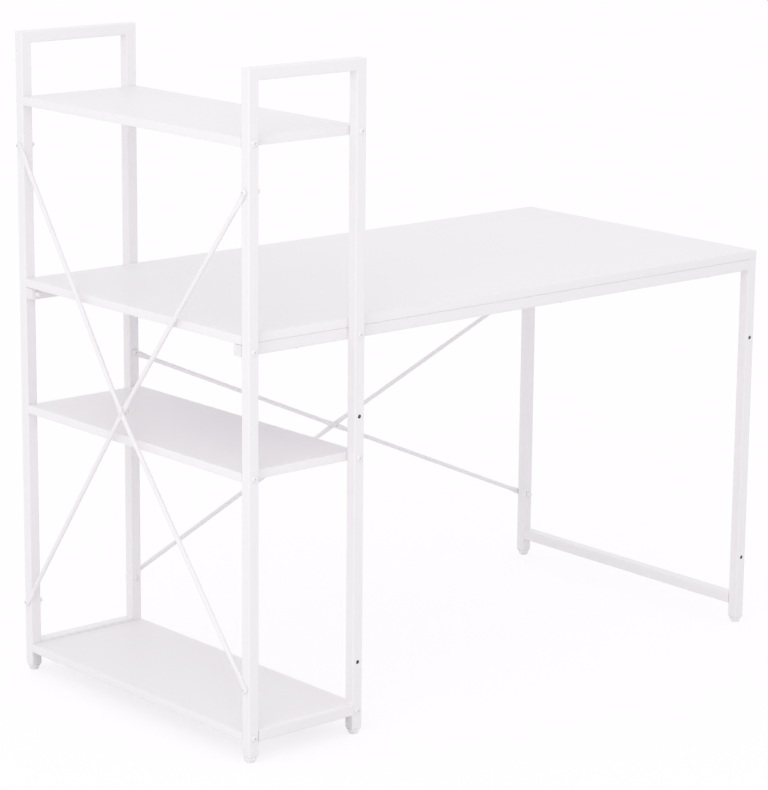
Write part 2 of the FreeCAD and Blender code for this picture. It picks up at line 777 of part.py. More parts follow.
def foot_plug(x, y):
    """The moulded plug in a post's lower end, with the threaded hole for a levelling foot."""
    rim_low = foot_height - foot_plug_rim
    rim_corner = Vector(x - tube_side / 2, y - tube_side / 2, rim_low)
    rim = rounded_bar(rim_corner, Vector(tube_side, tube_side, foot_plug_rim), upward, tube_corner)
    lower_edges = [edge for edge in rim.Edges if edge.BoundBox.ZMax < rim_low + foot_plug_rim / 2]
    rim = rim.makeFillet(foot_plug_edge, lower_edges)
    body_low = foot_height - foot_plug_rim / 2
    body_corner = Vector(x - plug_side / 2, y - plug_side / 2, body_low)
    body_size = Vector(plug_side, plug_side, foot_height + foot_plug_length - body_low)
    body = rounded_bar(body_corner, body_size, upward, tube_inner_corner)
    thread = Part.makeCylinder(foot_stud_diameter / 2 + foot_stud_clearance,
                               foot_plug_rim + foot_plug_length + 2 * overrun, Vector(x, y, rim_low - overrun))
    return rim.fuse(body).removeSplitter().cut(thread)


def foot_pad(x, y):
    """The moulded pad of a levelling foot, narrower at the floor, with a blind hole for its stud."""
    top_radius = foot_pad_diameter / 2
    base_radius = foot_pad_base_diameter / 2
    points = [
        origin,
        Vector(base_radius - foot_pad_edge, 0, 0),
        Vector(base_radius, 0, foot_pad_edge),
        Vector(top_radius, 0, foot_pad_height - foot_pad_edge),
        Vector(top_radius - foot_pad_edge / 2, 0, foot_pad_height),
        Vector(0, 0, foot_pad_height),
    ]
    pad = turned_outline([Part.makeLine(first, second) for first, second in zip(points, points[1:] + points[:1])])
    seat = Part.makeCylinder(foot_stud_diameter / 2 + thread_clearance,
                             foot_pad_height - foot_pad_floor + overrun, upward * foot_pad_floor)
    return aligned(pad.cut(seat), Vector(x, y, 0), upward)


def foot_stud(x, y):
    """The threaded stud of a levelling foot, from its seat in the pad up into the post's plug."""
    stud = Part.makeCylinder(foot_stud_diameter / 2, foot_stud_top - foot_pad_floor, Vector(x, y, foot_pad_floor))
    return stud.makeChamfer(bolt_tip_chamfer, closed_edges(stud))


def all_parts():
    """Every sub-part's shape, by its name."""
    parts = {
        "tower_front_outer_post": tower_post(True, False),
        "tower_front_inner_post": tower_post(True, True),
        "tower_front_top_rail": tower_top_rail(desk_front),
        "tower_back_outer_post": tower_post(False, False),
        "tower_back_inner_post": tower_post(False, True),
        "tower_back_top_rail": tower_top_rail(board_back),
        "tower_front_bottom_rail": tower_bottom_rail(desk_front),
        "tower_back_bottom_rail": tower_bottom_rail(board_back),
        "end_frame_front_post": end_frame_post(True),
        "end_frame_back_post": end_frame_post(False),
        "end_frame_top_rail": end_frame_top_rail(),
        "end_frame_bottom_rail": end_frame_bottom_rail(),
        "front_beam": table_beam(board_front),
        "back_beam": table_beam(beam_inner_back),
        "beam_end_caps": Part.makeCompound([beam_end_cap(y) for y in (board_front, beam_inner_back)]),
        "beam_thread_plugs": Part.makeCompound([beam_thread_plug(y) for y in (board_front, beam_inner_back)]),
        "beam_end_bolts": beam_end_bolts(),
        "tabletop_screws": tabletop_screws(),
    }
    parts["beam_post_bolts"], parts["beam_post_nuts"] = beam_post_fasteners()
    parts["tabletop"], parts["tabletop_edge_bands"] = tabletop()
    parts["bottom_shelf"], parts["bottom_shelf_edge_bands"] = tower_shelf(bottom_shelf_top)
    parts["middle_shelf"], parts["middle_shelf_edge_bands"] = tower_shelf(middle_shelf_top)
    parts["top_shelf"], parts["top_shelf_edge_bands"] = tower_shelf(top_shelf_top)
    parts["shelf_bolts"], parts["shelf_cross_dowels"] = shelf_fasteners()
    parts["side_brace_outer_rod"], parts["side_brace_inner_rod"] = side_brace_rods()
    parts["side_brace_bolts"], parts["side_brace_nuts"] = side_brace_fasteners()
    parts["back_brace_falling_rod"], parts["back_brace_rising_rod"] = back_brace_rods()
    parts["back_brace_bolts"], parts["back_brace_nuts"] = back_brace_fasteners()
    parts["brace_crossing_bolts"], parts["brace_crossing_nuts"] = crossing_fasteners()
    places = foot_places()
    parts["post_foot_plugs"] = Part.makeCompound([foot_plug(x, y) for x, y in places.values()])
    for name, (x, y) in places.items():
        parts["foot_pad_" + name] = foot_pad(x, y)
        parts["foot_stud_" + name] = foot_stud(x, y)
    return parts


def main():
    os.makedirs("parts", exist_ok=True)
    for name, shape in all_parts().items():
        shape.exportStep(os.path.join("parts", name + ".step"))
        print(name, len(shape.Solids), "solids,", round(shape.Volume), "cubic mm, valid", shape.isValid())


if __name__ == "__main__":
    main()
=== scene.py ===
"""Looks of the white computer desk: a studio, a camera, the finishes of its paint, boards, plastic and zinc,
and the small pieces that are finer than the construction model.

Lengths are in metres, in the desk's own frame.
"""

import json
import math
import random

import bmesh
import bpy
from mathutils import Matrix, Vector


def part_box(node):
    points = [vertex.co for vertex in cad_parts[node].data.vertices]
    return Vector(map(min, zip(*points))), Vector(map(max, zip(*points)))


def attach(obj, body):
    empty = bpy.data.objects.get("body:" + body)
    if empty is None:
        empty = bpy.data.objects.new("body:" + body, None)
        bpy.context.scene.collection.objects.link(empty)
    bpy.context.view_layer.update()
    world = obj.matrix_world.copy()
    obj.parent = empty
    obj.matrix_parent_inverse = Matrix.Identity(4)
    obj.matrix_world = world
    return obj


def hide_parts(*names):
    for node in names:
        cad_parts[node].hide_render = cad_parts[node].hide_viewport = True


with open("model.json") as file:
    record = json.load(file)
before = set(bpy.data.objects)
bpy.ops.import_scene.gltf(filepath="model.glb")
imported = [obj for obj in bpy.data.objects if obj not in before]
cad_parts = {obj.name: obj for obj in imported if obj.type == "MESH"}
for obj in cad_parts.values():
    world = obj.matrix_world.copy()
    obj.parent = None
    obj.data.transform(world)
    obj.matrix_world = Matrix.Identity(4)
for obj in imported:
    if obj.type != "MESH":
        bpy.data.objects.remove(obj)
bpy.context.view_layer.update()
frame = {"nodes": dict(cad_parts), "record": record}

MM = 0.001

# Camera: where it stands, which way it faces in radians, and its lens
CAMERA_PLACE = (-3.48362, -3.98255, 1.7192)
CAMERA_HEADING = 0.71495
CAMERA_TILT = 0.23163
CAMERA_ROLL = 0.00961
CAMERA_LENS_MM = 138.05
CAMERA_SENSOR_MM = 36.0

# Floor, backdrop and lamps
FLOOR_SIDE = 90.0
FLOOR_COLOR = (0.9, 0.886, 0.9, 1)
BACKDROP_WHITE = (1.0, 0.984, 1.0, 1)
FLOOR_SHADOW_SHARE = 0.26
FLOOR_GLOW = 1.055
SKY_TOP = 0.99
SKY_SIDE = 0.785
SKY_LEFT_GAIN = 0.12
KEY_PLACE = (-2.6, -2.0, 2.0)
KEY_SIDE = 2.4
KEY_WATTS = 17.0
STUDIO_AIM = (0.0, 0.0, 0.55)

# Colours
PAINT_WHITE = (0.905, 0.884, 0.905, 1)
BOARD_WHITE = (0.9, 0.878, 0.9, 1)
BAND_WHITE = (0.91, 0.89, 0.91, 1)
CAP_WHITE = (0.87, 0.852, 0.87, 1)
FOOT_WHITE = (0.95, 0.935, 0.95, 1)
ZINC = (0.76, 0.77, 0.79, 1)
MILKY_DEPTH = 0.002


# Shader groups
class Nodes:
    """Short calls that add and join the nodes of one tree."""

    def __init__(self, tree):
        self.tree = tree

    def add(self, kind, **values):
        node = self.tree.nodes.new(kind)
        for name, value in values.items():
            if hasattr(node, name):
                setattr(node, name, value)
            else:
                node.inputs[name.replace("_", " ")].default_value = value
        return node

    def join(self, source, target):
        self.tree.links.new(source, target)

    def math(self, operation, first, second):
        node = self.add("ShaderNodeMath", operation=operation)
        for socket, value in zip(node.inputs, (first, second)):
            if isinstance(value, (int, float)):
                socket.default_value = value
            else:
                self.join(value, socket)
        return node.outputs[0]


def new_group(name, inputs, outputs):
    """An empty shader node group with named sockets."""
    group = bpy.data.node_groups.new(name, "ShaderNodeTree")
    for label, kind, value in inputs:
        socket = group.interface.new_socket(label, in_out="INPUT", socket_type=kind)
        socket.default_value = value
    for label, kind in outputs:
        group.interface.new_socket(label, in_out="OUTPUT", socket_type=kind)
    nodes = Nodes(group)
    return group, nodes, nodes.add("NodeGroupInput").outputs, nodes.add("NodeGroupOutput").inputs


def noise_at(nodes, size, detail, roughness=0.5, stretch=None):
    """Noise over the object's own metres, one feature to each size."""
    place = nodes.add("ShaderNodeTexCoord").outputs["Object"]
    if stretch:
        mapping = nodes.add("ShaderNodeMapping")
        mapping.inputs["Scale"].default_value = stretch
        nodes.join(place, mapping.inputs["Vector"])
        place = mapping.outputs["Vector"]
    noise = nodes.add("ShaderNodeTexNoise", Detail=detail, Roughness=roughness)
    nodes.join(place, noise.inputs["Vector"])
    nodes.join(nodes.math("DIVIDE", 1.0, size), noise.inputs["Scale"])
    return noise.outputs["Fac"]


def relief_group():
    """Fine rounded relief: the orange peel of paint, or the grain of a mould. Gives a height in metres."""
    group, nodes, given, result = new_group(
        "fine_relief",
        [("Size", "NodeSocketFloat", 0.001), ("Depth", "NodeSocketFloat", 0.00001),
         ("Swell size", "NodeSocketFloat", 0.012), ("Swell depth", "NodeSocketFloat", 0.00002)],
        [("Height", "NodeSocketFloat")])
    grain = noise_at(nodes, given["Size"], detail=1.5, roughness=0.45)
    fine = nodes.math("MULTIPLY", grain, given["Depth"])
    waves = noise_at(nodes, given["Swell size"], detail=1.0)
    swell = nodes.math("MULTIPLY", waves, given["Swell depth"])
    nodes.join(nodes.math("ADD", fine, swell), result["Height"])
    return group


def drawn_lines_group():
    """Faint level lines, such as a drawn strip or a turned thread shows. Gives a height in metres."""
    group, nodes, given, result = new_group(
        "drawn_lines",
        [("Size", "NodeSocketFloat", 0.0006), ("Depth", "NodeSocketFloat", 0.000006)],
        [("Height", "NodeSocketFloat")])
    lines = noise_at(nodes, given["Size"], detail=2.0, roughness=0.6, stretch=(0.012, 0.012, 1.0))
    nodes.join(nodes.math("MULTIPLY", lines, given["Depth"]), result["Height"])
    return group


def tone_group():
    """A colour that drifts a little in wide patches, with a fine speckle."""
    group, nodes, given, result = new_group(
        "tone_drift",
        [("Color", "NodeSocketColor", (0.9, 0.9, 0.9, 1)), ("Patch size", "NodeSocketFloat", 0.2),
         ("Patch strength", "NodeSocketFloat", 0.02), ("Speckle size", "NodeSocketFloat", 0.0012),
         ("Speckle strength", "NodeSocketFloat", 0.01)],
        [("Color", "NodeSocketColor")])
    patches = noise_at(nodes, given["Patch size"], detail=3.0)
    patch = nodes.math("MULTIPLY", patches, given["Patch strength"])
    speckles = noise_at(nodes, given["Speckle size"], detail=1.0)
    speckle = nodes.math("MULTIPLY", speckles, given["Speckle strength"])
    loss = nodes.math("ADD", patch, speckle)
    keep = nodes.math("SUBTRACT", 1.0, loss)
    scale = nodes.add("ShaderNodeVectorMath", operation="SCALE")
    nodes.join(given["Color"], scale.inputs[0])
    nodes.join(keep, scale.inputs["Scale"])
    nodes.join(scale.outputs[0], result["Color"])
    return group


def sheen_group():
    """A roughness that varies with handling and with the coat's thickness."""
    group, nodes, given, result = new_group(
        "uneven_sheen",
        [("Roughness", "NodeSocketFloat", 0.4), ("Spread", "NodeSocketFloat", 0.08),
         ("Patch size", "NodeSocketFloat", 0.05)],
        [("Roughness", "NodeSocketFloat")])
    patches = noise_at(nodes, given["Patch size"], detail=4.0, roughness=0.6)
    centred = nodes.math("SUBTRACT", patches, 0.5)
    drift = nodes.math("MULTIPLY", centred, given["Spread"])
    nodes.join(nodes.math("ADD", given["Roughness"], drift), result["Roughness"])
    return group


FINE_RELIEF = relief_group()
DRAWN_LINES = drawn_lines_group()
TONE_DRIFT = tone_group()
UNEVEN_SHEEN = sheen_group()


# Materials
def place_group(nodes, group, values):
    node = nodes.add("ShaderNodeGroup")
    node.node_tree = group
    for label, value in values.items():
        node.inputs[label].default_value = value
    return node


def finish(name, tone, sheen, reliefs, metallic=0.0, coat=0.0, coat_roughness=0.1, milky=0.0):
    """A material: a drifting colour, an uneven sheen and one or more reliefs added together.

    milky is the share of light that soaks a little way into the surface, as it does in thin white plastic.
    """
    material = bpy.data.materials.new(name)
    material.use_nodes = True
    material.node_tree.nodes.clear()
    nodes = Nodes(material.node_tree)
    surface = nodes.add("ShaderNodeBsdfPrincipled")
    surface.inputs["Metallic"].default_value = metallic
    surface.inputs["Subsurface Weight"].default_value = milky
    surface.inputs["Subsurface Radius"].default_value = (1, 1, 1)
    surface.inputs["Subsurface Scale"].default_value = MILKY_DEPTH
    surface.inputs["Coat Weight"].default_value = coat
    surface.inputs["Coat Roughness"].default_value = coat_roughness
    nodes.join(place_group(nodes, TONE_DRIFT, tone).outputs["Color"], surface.inputs["Base Color"])
    nodes.join(place_group(nodes, UNEVEN_SHEEN, sheen).outputs["Roughness"], surface.inputs["Roughness"])
    height = None
    for group, values in reliefs:
        layer = place_group(nodes, group, values).outputs["Height"]
        height = layer if height is None else nodes.math("ADD", height, layer)
    bump = nodes.add("ShaderNodeBump")
    bump.inputs["Strength"].default_value = 1.0
    bump.inputs["Distance"].default_value = 1.0
    nodes.join(height, bump.inputs["Height"])
    nodes.join(bump.outputs["Normal"], surface.inputs["Normal"])
    nodes.join(surface.outputs[0], nodes.add("ShaderNodeOutputMaterial").inputs["Surface"])
    return material


FRAME_PAINT = finish(
    "white_powder_coat",
    {"Color": PAINT_WHITE, "Patch size": 0.18, "Patch strength": 0.02, "Speckle size": 0.0011,
     "Speckle strength": 0.012},
    {"Roughness": 0.36, "Spread": 0.12, "Patch size": 0.03},
    [(FINE_RELIEF, {"Size": 0.0013, "Depth": 0.000022, "Swell size": 0.009, "Swell depth": 0.00004})],
    coat=0.15, coat_roughness=0.22)
FASTENER_PAINT = finish(
    "white_enamel_on_fasteners",
    {"Color": PAINT_WHITE, "Patch size": 0.02, "Patch strength": 0.03, "Speckle size": 0.0006,
     "Speckle strength": 0.015},
    {"Roughness": 0.3, "Spread": 0.12, "Patch size": 0.006},
    [(FINE_RELIEF, {"Size": 0.0007, "Depth": 0.000014, "Swell size": 0.003, "Swell depth": 0.00002})],
    coat=0.2, coat_roughness=0.15)
BOARD_FINISH = finish(
    "white_melamine",
    {"Color": BOARD_WHITE, "Patch size": 0.32, "Patch strength": 0.025, "Speckle size": 0.0009,
     "Speckle strength": 0.014},
    {"Roughness": 0.42, "Spread": 0.14, "Patch size": 0.07},
    [(FINE_RELIEF, {"Size": 0.0008, "Depth": 0.000016, "Swell size": 0.0035, "Swell depth": 0.000022})])
BAND_FINISH = finish(
    "white_edge_band",
    {"Color": BAND_WHITE, "Patch size": 0.2, "Patch strength": 0.015, "Speckle size": 0.001,
     "Speckle strength": 0.01},
    {"Roughness": 0.34, "Spread": 0.1, "Patch size": 0.02},
    [(FINE_RELIEF, {"Size": 0.0009, "Depth": 0.000009, "Swell size": 0.006, "Swell depth": 0.00001}),
     (DRAWN_LINES, {"Size": 0.0007, "Depth": 0.00001})])
FOOT_FINISH = finish(
    "white_moulded_foot",
    {"Color": FOOT_WHITE, "Patch size": 0.02, "Patch strength": 0.03, "Speckle size": 0.0005,
     "Speckle strength": 0.02},
    {"Roughness": 0.42, "Spread": 0.1, "Patch size": 0.004},
    [(FINE_RELIEF, {"Size": 0.00045, "Depth": 0.000008, "Swell size": 0.003, "Swell depth": 0.00001})],
    milky=0.25)
CAP_FINISH = finish(
    "white_moulded_cap",
    {"Color": CAP_WHITE, "Patch size": 0.03, "Patch strength": 0.03, "Speckle size": 0.0005,
     "Speckle strength": 0.02},
    {"Roughness": 0.46, "Spread": 0.1, "Patch size": 0.005},
    [(FINE_RELIEF, {"Size": 0.00045, "Depth": 0.000012, "Swell size": 0.003, "Swell depth": 0.00001})])
ZINC_FINISH = finish(
    "bright_zinc",
    {"Color": ZINC, "Patch size": 0.006, "Patch strength": 0.14, "Speckle size": 0.0005,
     "Speckle strength": 0.06},
    {"Roughness": 0.3, "Spread": 0.22, "Patch size": 0.002},
    [(FINE_RELIEF, {"Size": 0.0004, "Depth": 0.000008, "Swell size": 0.002, "Swell depth": 0.000008}),
     (DRAWN_LINES, {"Size": 0.0004, "Depth": 0.000006})],
    metallic=1.0)

FINISH_OF_SLOT = {
    "frame_paint": FRAME_PAINT,
    "fastener_paint": FASTENER_PAINT,
    "board": BOARD_FINISH,
    "edge_band": BAND_FINISH,
    "zinc_steel": ZINC_FINISH,
    "foot_plastic": FOOT_FINISH,
    "cap_plastic": CAP_FINISH,
}


def dress_construction_nodes():
    """Gives every node of the construction model the finish of its slot."""
    for subpart in frame["record"]["subparts"]:
        mesh = frame["nodes"][subpart["node"]].data
        mesh.materials.clear()
        mesh.materials.append(FINISH_OF_SLOT[subpart["material_slot"]])


# Pieces that are finer than the construction model
BODY_OF = {node: body for body, nodes in frame["record"]["behaviour"]["bodies"].items() for node in nodes}


def new_piece(name, mesh, slot, body, replaced=()):
    """Puts a finished mesh into the scene, on its body, with its finish."""
    mesh.materials.clear()
    mesh.materials.append(FINISH_OF_SLOT[slot])
    piece = bpy.data.objects.new(name, mesh)
    bpy.context.scene.collection.objects.link(piece)
    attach(piece, body)
    if replaced:
        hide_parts(*replaced)


SMOOTH_ANGLE = math.radians(35)


def mesh_from(name, shape, smooth_angle=SMOOTH_ANGLE):
    """A mesh with outward faces, smooth across soft edges only."""
    bmesh.ops.recalc_face_normals(shape, faces=shape.faces)
    for face in shape.faces:
        face.smooth = True
    for edge in shape.edges:
        edge.smooth = edge.is_manifold and edge.calc_face_angle(0.0) < smooth_angle
    mesh = bpy.data.meshes.new(name)
    shape.to_mesh(mesh)
    shape.free()
    return mesh


def joined(shapes):
    """One bmesh that holds all the shapes."""
    whole = bmesh.new()
    for shape in shapes:
        part = bpy.data.meshes.new("part")
        shape.to_mesh(part)
        shape.free()
        whole.from_mesh(part)
        bpy.data.meshes.remove(part)
    return whole


def join_rings(shape, rings):
    """Joins each ring of points to the next one and closes both ends."""
    for lower, upper in zip(rings, rings[1:]):
        for index in range(len(lower)):
            following = (index + 1) % len(lower)
            shape.faces.new((lower[index], lower[following], upper[following], upper[index]))
    shape.faces.new(rings[0])
    shape.faces.new(list(reversed(rings[-1])))


def block(low, high):
    """A box between two corners."""
    shape = bmesh.new()
    bmesh.ops.create_cube(shape, size=1.0)
    size = Vector(high) - Vector(low)
    middle = (Vector(high) + Vector(low)) / 2
    for vertex in shape.verts:
        vertex.co = Vector(vertex.co[i] * size[i] + middle[i] for i in range(3))
    return shape


BAND_THICKNESS = 0.8 * MM
BAND_ARRIS = 0.5 * MM
BAND_GLUE_LINE = 0.09 * MM
BAND_ARRIS_STEPS = 4
ROUND_PROFILE = 0.5
SAME_PLANE = 1e-7
Z_AXIS = 2


def longest_axis(step):
    """The axis along which a step reaches furthest, as 0, 1 or 2."""
    return max(range(3), key=lambda i: abs(step[i]))


def runs_along(edge):
    """The axis that an edge follows."""
    first, second = (vertex.co for vertex in edge.verts)
    return longest_axis(first - second)


def lies_on(edge, axis, plane):
    """Whether both ends of an edge lie on a plane that is square to axis."""
    return all(abs(vertex.co[axis] - plane) < SAME_PLANE for vertex in edge.verts)


def place_of(element):
    """Where a corner, an edge or a face lies: the places of its corners, in order."""
    corners = [element] if isinstance(element, bmesh.types.BMVert) else element.verts
    return sorted(tuple(corner.co) for corner in corners)


def put_in_order(shape):
    """Sorts corners, edges and faces by place, because a bevel gives them in no fixed order."""
    for elements in (shape.verts, shape.edges, shape.faces):
        ranks = {element: rank for rank, element in enumerate(sorted(elements, key=place_of))}
        elements.sort(key=ranks.get)


def eased_strip(low, high, outward, ends):
    """A glued strip whose outer arrises are eased and whose inner ones leave a hairline at the board.

    ends tells whether its upright arrises are eased too.
    """
    shape = block(low, high)
    axis = longest_axis(outward)
    outer_plane = high[axis] if outward[axis] > 0 else low[axis]
    inner = [edge for edge in shape.edges
             if runs_along(edge) not in (axis, Z_AXIS) and not lies_on(edge, axis, outer_plane)]
    bmesh.ops.bevel(shape, geom=inner, offset=BAND_GLUE_LINE, segments=1, affect="EDGES",
                    profile=ROUND_PROFILE)
    outer = [edge for edge in shape.edges
             if lies_on(edge, axis, outer_plane) and (ends or runs_along(edge) != Z_AXIS)]
    bmesh.ops.bevel(shape, geom=outer, offset=BAND_ARRIS, segments=BAND_ARRIS_STEPS, affect="EDGES",
                    profile=ROUND_PROFILE)
    put_in_order(shape)
    return shape


def dress_board_edges(board):
    """The four edge bands of a board: eased outside, with a hairline where they meet the board."""
    node = board + "_edge_bands"
    low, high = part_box(node)
    strips = []
    for outward in ((0, -1, 0), (0, 1, 0)):
        y = (low.y, low.y + BAND_THICKNESS) if outward[1] < 0 else (high.y - BAND_THICKNESS, high.y)
        strips.append(eased_strip((low.x, y[0], low.z), (high.x, y[1], high.z), outward, True))
    inner_low, inner_high = low.y + BAND_THICKNESS, high.y - BAND_THICKNESS
    for outward in ((-1, 0, 0), (1, 0, 0)):
        x = (low.x, low.x + BAND_THICKNESS) if outward[0] < 0 else (high.x - BAND_THICKNESS, high.x)
        strips.append(eased_strip((x[0], inner_low, low.z), (x[1], inner_high, high.z), outward, False))
    mesh = mesh_from(board + "_edging", joined(strips))
    new_piece(board + "_edging", mesh, "edge_band", BODY_OF[node], [node])


THREAD_PITCH = 1.25 * MM
THREAD_DEPTH = 0.62 * MM
THREAD_SIDES = 40
THREAD_END = 1.0 * MM
THREAD_SMOOTH_ANGLE = math.radians(50)
MERGE_DISTANCE = 0.01 * MM
# share of the pitch, share of the depth
THREAD_FORM_SHARES = ((0.0, 1.0), (0.12, 1.0), (0.5, 0.0), (0.62, 0.0))


def threaded_stud(name, node):
    """A levelling stud with a real helical thread, its ends turned down."""
    low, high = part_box(node)
    centre = (low + high) / 2
    radius = (high.x - low.x) / 2
    length = high.z - low.z
    core = radius - THREAD_DEPTH
    levels = []
    for turn in range(-1, int(math.ceil(length / THREAD_PITCH)) + 1):
        for share, crest in THREAD_FORM_SHARES:
            levels.append(((turn + share) * THREAD_PITCH, crest))
    columns = []
    shape = bmesh.new()
    for step in range(THREAD_SIDES + 1):
        angle = math.tau * step / THREAD_SIDES
        rise = THREAD_PITCH * step / THREAD_SIDES
        column = []
        for level, crest in levels:
            z = min(max(level + rise, 0.0), length)
            turned_down = min(1.0, min(z, length - z) / THREAD_END)
            here = core + THREAD_DEPTH * crest * turned_down
            place = (centre.x + here * math.cos(angle), centre.y + here * math.sin(angle), low.z + z)
            column.append(shape.verts.new(place))
        columns.append(column)
    for this, following in zip(columns, columns[1:]):
        for row in range(len(levels) - 1):
            shape.faces.new((this[row], following[row], following[row + 1], this[row + 1]))
    bmesh.ops.remove_doubles(shape, verts=shape.verts, dist=MERGE_DISTANCE)
    bmesh.ops.dissolve_degenerate(shape, dist=MERGE_DISTANCE, edges=shape.edges)
    open_edges = [edge for edge in shape.edges if edge.is_boundary]
    bmesh.ops.holes_fill(shape, edges=open_edges, sides=0)
    mesh = mesh_from(name, shape, THREAD_SMOOTH_ANGLE)
    new_piece(name, mesh, "zinc_steel", BODY_OF[node], [node])


PAD_FLUTES = 36
PAD_FLUTE_DEPTH = 0.3 * MM
PAD_STEPS_PER_FLUTE = 6
PAD_RING_SIDES = PAD_FLUTES * PAD_STEPS_PER_FLUTE
PAD_SMOOTH_ANGLE = math.radians(40)
# radius share, height share, how deep the flutes are there
PAD_OUTLINE_SHARES = (
    (0.0, 0.035, 0.0), (0.44, 0.035, 0.0), (0.49, 0.0, 0.0), (0.61, 0.0, 0.0), (0.67, 0.012, 0.0),
    (0.71, 0.055, 0.0), (0.735, 0.14, 0.0), (0.775, 0.27, 0.0), (0.825, 0.4, 0.0), (0.865, 0.48, 0.3),
    (0.91, 0.56, 1.0), (0.955, 0.66, 1.0), (0.985, 0.76, 1.0), (1.0, 0.85, 1.0), (0.995, 0.91, 0.6),
    (0.97, 0.955, 0.0), (0.92, 0.985, 0.0), (0.85, 1.0, 0.0), (0.39, 1.0, 0.0), (0.38, 0.98, 0.0),
    (0.38, 0.9, 0.0), (0.0, 0.9, 0.0),
)


def fluted_pad(name, node):
    """A moulded foot pad like a shallow bowl: a narrow base, a fluted gripping band and an eased top."""
    low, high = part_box(node)
    centre = (low + high) / 2
    radius = (high.x - low.x) / 2
    height = high.z - low.z
    shape = bmesh.new()
    rings = []
    for share, level, flute in PAD_OUTLINE_SHARES:
        z = low.z + level * height
        if share == 0.0:
            rings.append([shape.verts.new((centre.x, centre.y, z))])
            continue
        ring = []
        for step in range(PAD_RING_SIDES):
            angle = math.tau * step / PAD_RING_SIDES
            wave = 0.5 - 0.5 * math.cos(angle * PAD_FLUTES)
            here = radius * share - PAD_FLUTE_DEPTH * flute * wave ** 2
            place = (centre.x + here * math.cos(angle), centre.y + here * math.sin(angle), z)
            ring.append(shape.verts.new(place))
        rings.append(ring)
    for lower, upper in zip(rings, rings[1:]):
        count = max(len(lower), len(upper))
        for step in range(count):
            following = (step + 1) % count
            corners = [lower[step % len(lower)], lower[following % len(lower)],
                       upper[following % len(upper)], upper[step % len(upper)]]
            unique = list(dict.fromkeys(corners))
            shape.faces.new(unique)
    mesh = mesh_from(name, shape, PAD_SMOOTH_ANGLE)
    new_piece(name, mesh, "foot_plastic", BODY_OF[node], [node])


CAP_INSET = 0.6 * MM
CAP_RIM = 0.8 * MM
CAP_RIM_STEPS = 5
CAP_CORNER = 1.8 * MM
CAP_CORNER_STEPS = 6
CAP_INSERT_HALF = 8.65 * MM
CAP_INSERT_CORNER = 1.0 * MM
CAP_INSERT_LENGTH = 3.5 * MM


def rounded_square(centre, half, corner):
    """The outline of a square with round corners, as pairs of y and z round centre."""
    outline = []
    for quarter, (side_y, side_z) in enumerate(((1, 1), (-1, 1), (-1, -1), (1, -1))):
        for step in range(CAP_CORNER_STEPS + 1):
            angle = math.pi / 2 * (quarter + step / CAP_CORNER_STEPS)
            outline.append((centre.y + side_y * (half - corner) + corner * math.cos(angle),
                            centre.z + side_z * (half - corner) + corner * math.sin(angle)))
    return outline


def end_cap_shape(beam, face_x):
    """One cap: a soft-rimmed face a little smaller than the tube, and the insert that holds it there."""
    low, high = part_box(beam)
    centre = (low + high) / 2
    half = (high.z - low.z) / 2 - CAP_INSET
    depth = low.x - face_x
    profile = []
    for step in range(CAP_RIM_STEPS + 1):
        angle = math.pi / 2 * step / CAP_RIM_STEPS
        drawn_in = CAP_RIM * (1 - math.sin(angle))
        profile.append((CAP_RIM * (1 - math.cos(angle)), half - drawn_in, CAP_CORNER - drawn_in))
    profile.append((depth, half, CAP_CORNER))
    profile.append((depth, CAP_INSERT_HALF, CAP_INSERT_CORNER))
    profile.append((depth + CAP_INSERT_LENGTH, CAP_INSERT_HALF, CAP_INSERT_CORNER))
    shape = bmesh.new()
    rings = []
    for reach, here, corner in profile:
        outline = rounded_square(centre, here, corner)
        rings.append([shape.verts.new((face_x + reach, y, z)) for y, z in outline])
    join_rings(shape, rings)
    return shape


def moulded_end_caps():
    """The caps in the left ends of both beams, with a narrow shadow gap to the posts and the tabletop."""
    node = "beam_end_caps"
    face_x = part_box(node)[0].x
    caps = [end_cap_shape(beam, face_x) for beam in ("front_beam", "back_beam")]
    mesh = mesh_from("moulded_end_caps", joined(caps))
    new_piece("moulded_end_caps", mesh, "cap_plastic", BODY_OF[node], [node])


TUBE_CORNER = 2.2 * MM
WELD_LEG = 2.6 * MM
WELD_RIPPLE = 0.28 * MM
WELD_RIPPLE_LENGTH = 1.9 * MM
WELD_SIDES = 7
WELD_STEPS_PER_RIPPLE = 5
WELD_LEAST_STEPS = 8
WELD_ROOT = 0.3 * MM
WELD_UNEVENNESS = 0.06 * MM
WELD_END_SHARE = 0.35
WELD_END_LEGS = 1.2
WELD_HOLLOW = 1.15
WELD_BULGE_SHARE = 0.17
TOWER_WELD_SEED = 11
END_WELD_SEED = 21


